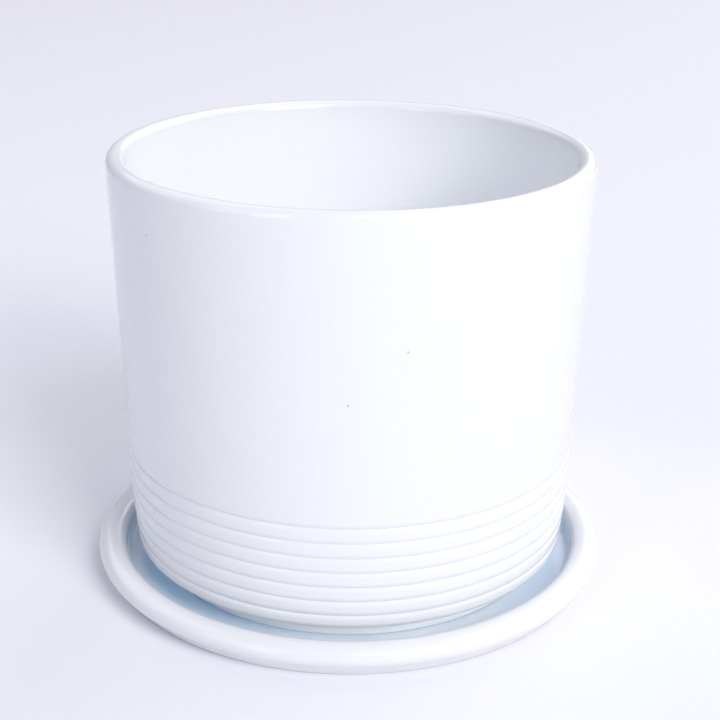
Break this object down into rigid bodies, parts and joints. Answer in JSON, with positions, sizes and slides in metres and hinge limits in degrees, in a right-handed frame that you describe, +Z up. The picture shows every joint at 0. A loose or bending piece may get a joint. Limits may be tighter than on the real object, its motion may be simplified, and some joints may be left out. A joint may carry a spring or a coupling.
{
  "type": "plant pot",
  "caption": "Cylindrical glazed ceramic plant pot, slightly tapered, ribbed round its foot and open at the top, with a drain hole, standing loose in a shallow round saucer.",
  "frame": {"origin": "centre of the saucer's underside, on the surface that it stands on", "axes": "+Z up along the axis that both pieces are turned about; both are round, so X and Y are free"},
  "size_m": [0.1666, 0.1666, 0.1377],
  "materials": {
    "pot_glaze": "glossy cool white glaze over stoneware, with a dry foot",
    "saucer_glaze": "glossy cool white glaze over stoneware, with a dry foot"
  },
  "bodies": {
    "saucer_body": {"saucer": "saucer_glaze"},
    "pot_body": {"pot": "pot_glaze"}
  },
  "joints": [
    {"name": "pot_lift", "type": "slide", "parent": "saucer_body", "child": "pot_body", "axis": [0, 0, 1], "range_m": [0, 0.1]}
  ]
}
